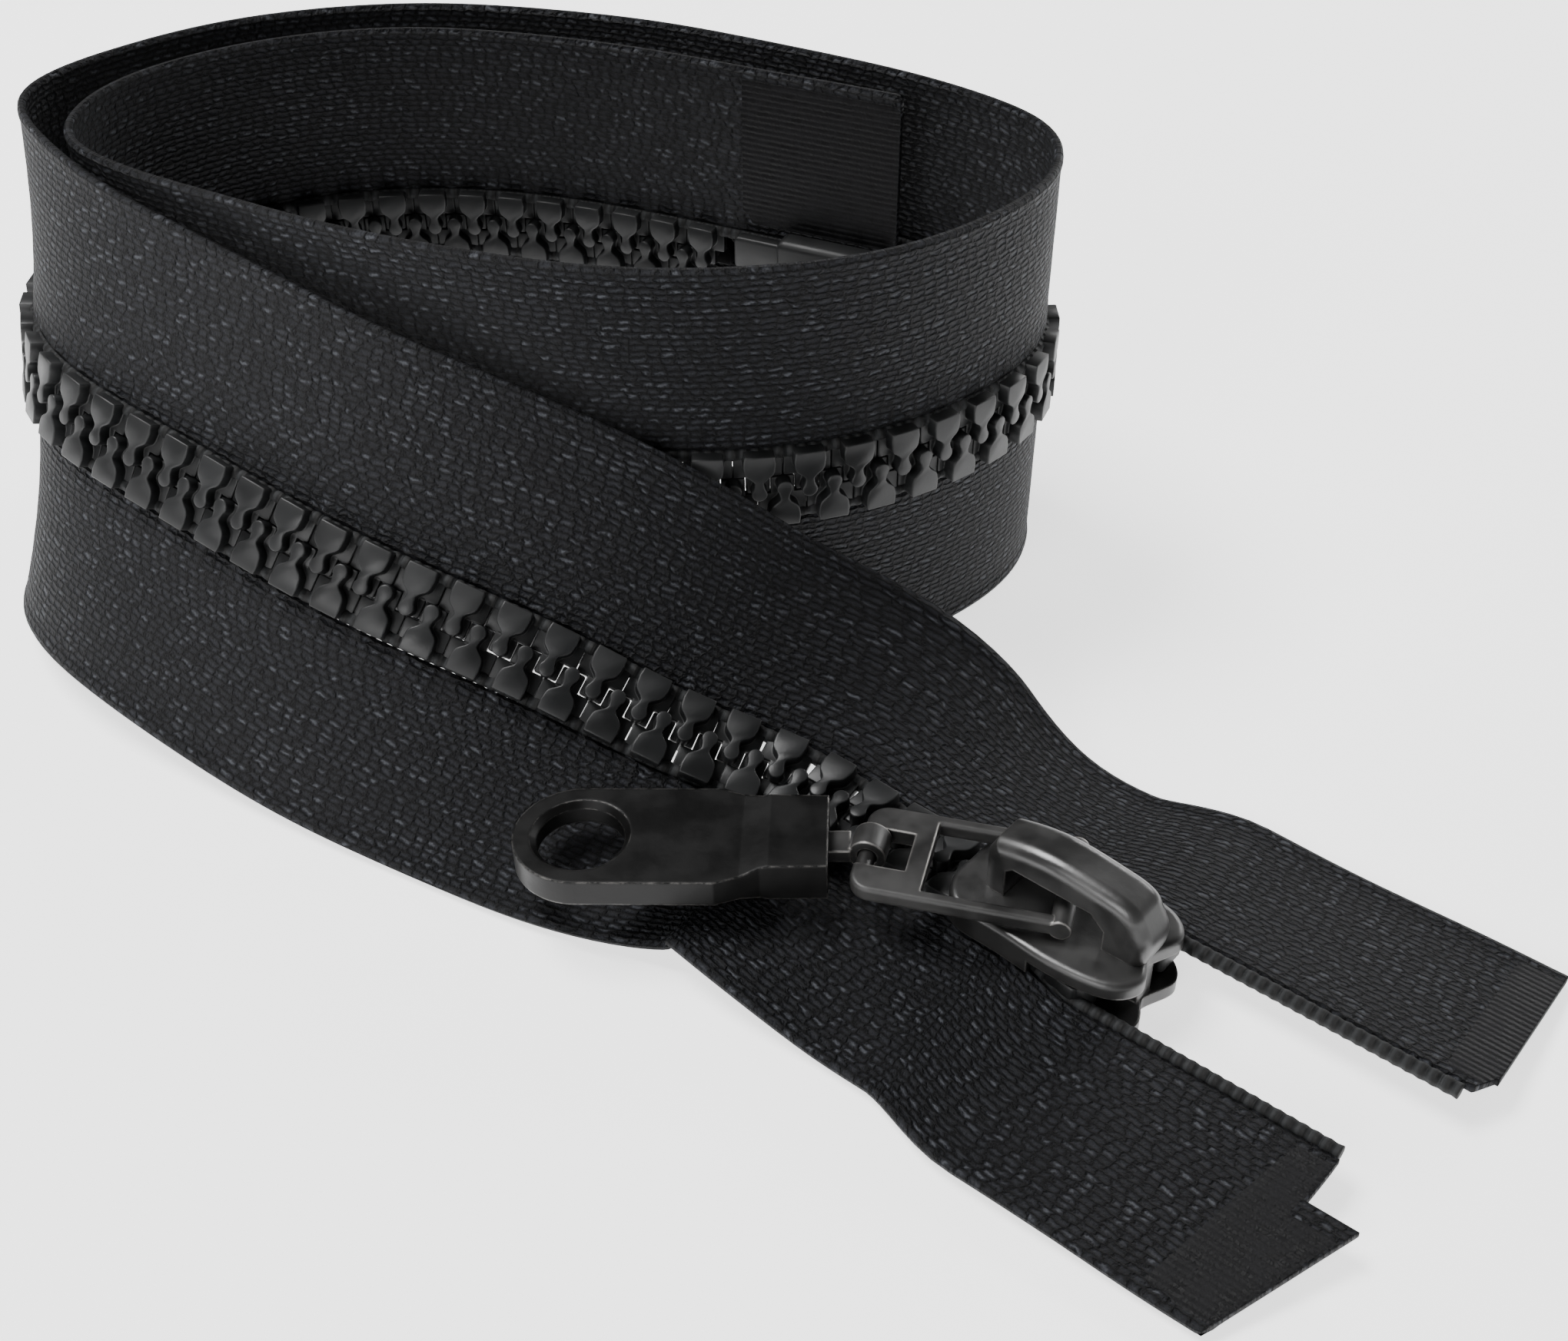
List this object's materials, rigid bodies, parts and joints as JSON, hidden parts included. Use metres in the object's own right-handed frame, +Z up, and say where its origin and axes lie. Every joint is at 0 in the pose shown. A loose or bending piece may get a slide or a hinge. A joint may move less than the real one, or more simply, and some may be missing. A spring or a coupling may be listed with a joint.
{
  "type": "open-end zipper",
  "caption": "Black moulded-tooth open-end zipper, closed and rolled into an upright coil, with an auto-lock slider and a holed pull tab at its parted top end.",
  "frame": {"origin": "middle of the footprint, on the table the coil stands on", "axes": "+Z up out of the table, +Y towards the back of the coil, +X towards the parted end"},
  "size_m": [0.1066, 0.1021, 0.033],
  "materials": {
    "tape": "matte",
    "cord": "matte",
    "teeth": "satin",
    "film": "satin",
    "slider": "satin",
    "link": "satin",
    "inner_steel": "satin",
    "grip": "satin"
  },
  "bodies": {
    "chain": {"tape_upper_first_turn": "tape", "tape_upper_second_turn": "tape", "tape_upper_front": "tape", "tape_lower_first_turn": "tape", "tape_lower_second_turn": "tape", "tape_lower_front": "tape", "cord_upper": "cord", "cord_lower": "cord", "teeth_upper": "teeth", "teeth_lower": "teeth", "teeth_upper_in_slider": "teeth", "teeth_lower_in_slider": "teeth", "top_stop_upper": "teeth", "top_stop_lower": "teeth", "film_bottom_upper": "film", "film_bottom_lower": "film", "retainer_pin": "teeth", "insertion_pin": "teeth", "retainer_box": "teeth"},
    "upper_end": {"tape_upper_end": "tape", "cord_upper_end": "cord", "film_top_upper": "film"},
    "lower_end": {"tape_lower_end": "tape", "cord_lower_end": "cord", "film_top_lower": "film"},
    "slider": {"slider_body": "slider", "crown": "slider", "pawl_spring": "inner_steel"},
    "pawl": {"lock_pawl": "inner_steel"},
    "link": {"pull_link": "link"},
    "tab": {"pull_tab": "grip", "tab_hook": "link"}
  },
  "joints": [
    {"name": "slider_slide", "type": "slide", "parent": "chain", "child": "slider", "axis": [0.7716, -0.6361, 0], "range_m": [-0.0034, 0], "deforming": ["teeth_upper_in_slider", "teeth_lower_in_slider"]},
    {"name": "upper_end_swing", "type": "hinge", "parent": "chain", "child": "upper_end", "pos_m": [0.0321, -0.02655, 0.0024], "axis": [0, 0, 1], "range_deg": [-3, 10], "deforming": ["tape_upper_end", "cord_upper_end"]},
    {"name": "lower_end_swing", "type": "hinge", "parent": "chain", "child": "lower_end", "pos_m": [0.02676, -0.03303, 0.0024], "axis": [0, 0, -1], "range_deg": [-3, 10], "deforming": ["tape_lower_end", "cord_lower_end"]},
    {"name": "pull_link_swing", "type": "hinge", "parent": "slider", "child": "link", "pos_m": [0.0221, -0.02375, 0.00585], "axis": [0.2504, 0.9681, 0], "range_deg": [0, 72]},
    {"name": "pull_tab_swing", "type": "hinge", "parent": "link", "child": "tab", "pos_m": [0.0099, -0.02059, 0.00585], "axis": [0.2504, 0.9681, 0], "range_deg": [0, 110]},
    {"name": "pawl_lift", "type": "slide", "parent": "slider", "child": "pawl", "axis": [0, 0, 1], "range_m": [0, 0.001]}
  ],
  "couplings": [
    {"joint": "pawl_lift", "follows": "pull_link_swing", "m_per_rad": 0.0007799}
  ]
}
